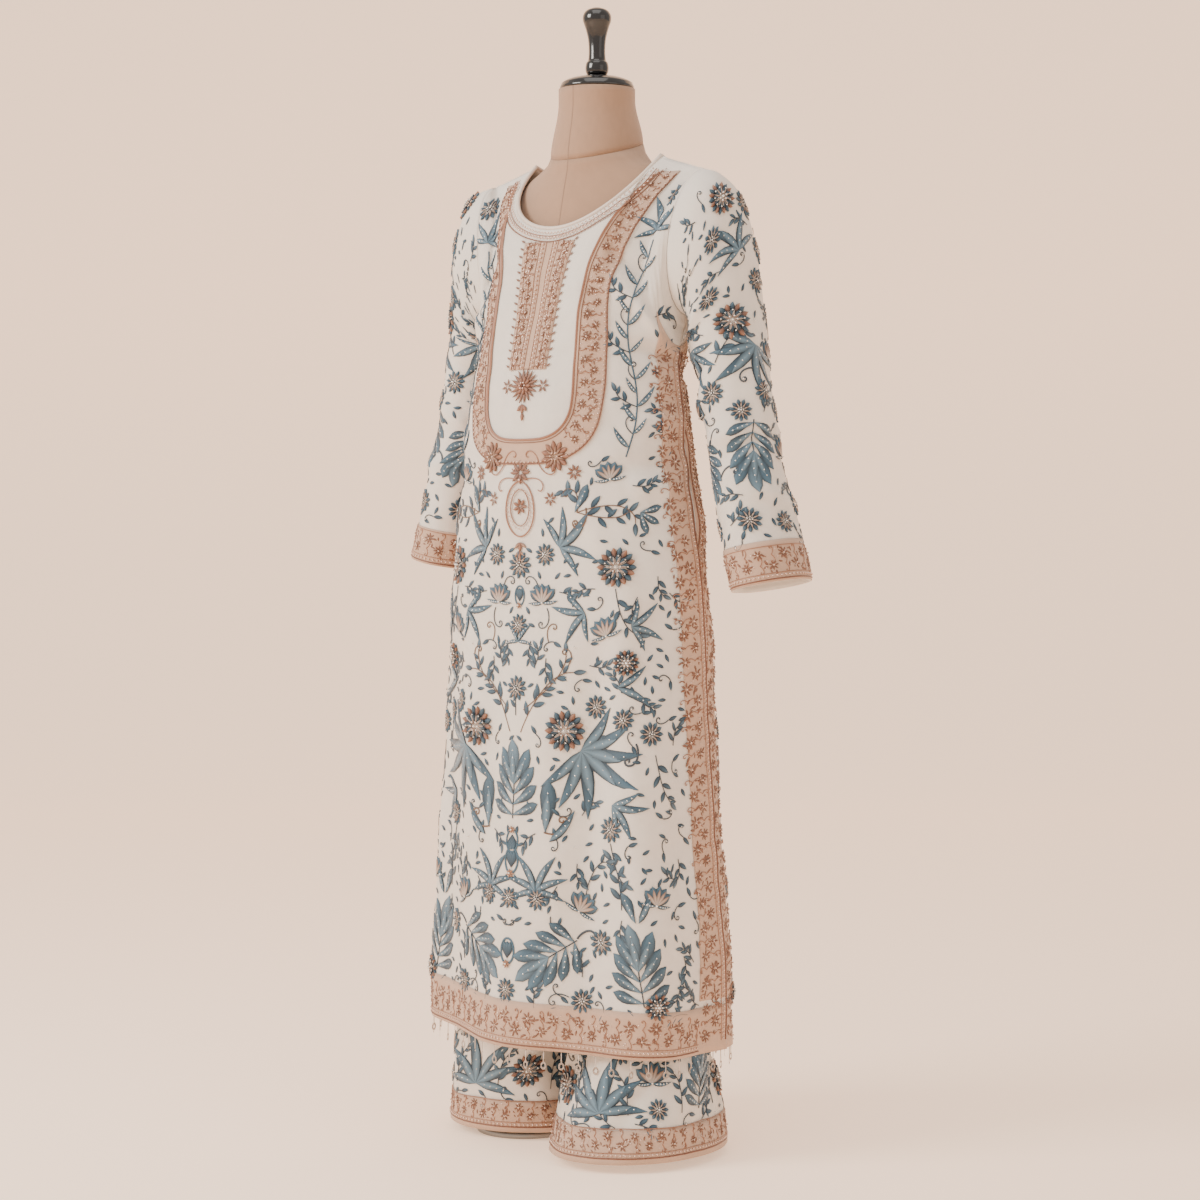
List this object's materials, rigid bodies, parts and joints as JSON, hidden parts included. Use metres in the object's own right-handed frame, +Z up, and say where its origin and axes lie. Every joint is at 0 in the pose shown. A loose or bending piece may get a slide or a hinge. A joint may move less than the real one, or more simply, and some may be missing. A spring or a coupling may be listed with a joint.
{
  "type": "salwar kameez suit on a dress form",
  "caption": "Long ivory embroidered tunic with side slits, bib, long sleeves and fringed hem over wide trousers, worn by a limbless dress form.",
  "frame": {"origin": "on the floor, at the middle of the object's box seen from above", "axes": "+Z up, -Y the way the wearer faces, +X to the wearer's left"},
  "size_m": [0.6596, 0.3312, 1.5524],
  "materials": {
    "kameez_cloth": "matt ivory crepe with a fine twill",
    "trouser_cloth": "matt ivory crepe",
    "piping": "ivory satin piping",
    "embroidery": "tan ground with satin stitch and beads",
    "fringe": "threads with ring beads",
    "form_jersey": "matt beige jersey",
    "black_lacquer": "glossy black",
    "stand_metal": "satin grey paint"
  },
  "bodies": {
    "root": {"front_panel": "kameez_cloth", "back_panel": "kameez_cloth", "sleeve_left": "kameez_cloth", "sleeve_right": "kameez_cloth", "neck_binding": "piping", "bib_band": "embroidery", "slit_border_front_left": "embroidery", "slit_border_front_right": "embroidery", "slit_border_back_left": "embroidery", "slit_border_back_right": "embroidery", "hem_border_front": "embroidery", "hem_border_back": "embroidery", "cuff_border_left": "embroidery", "cuff_border_right": "embroidery", "hem_fringe_front": "fringe", "hem_fringe_back": "fringe", "trouser_left": "trouser_cloth", "trouser_right": "trouser_cloth", "waistband": "trouser_cloth", "trouser_border_left": "embroidery", "trouser_border_right": "embroidery", "form_torso": "form_jersey", "form_neck": "form_jersey", "neck_cap": "black_lacquer", "finial": "black_lacquer", "post_left": "stand_metal", "post_right": "stand_metal", "foot_left": "stand_metal", "foot_right": "stand_metal"}
  },
  "joints": []
}
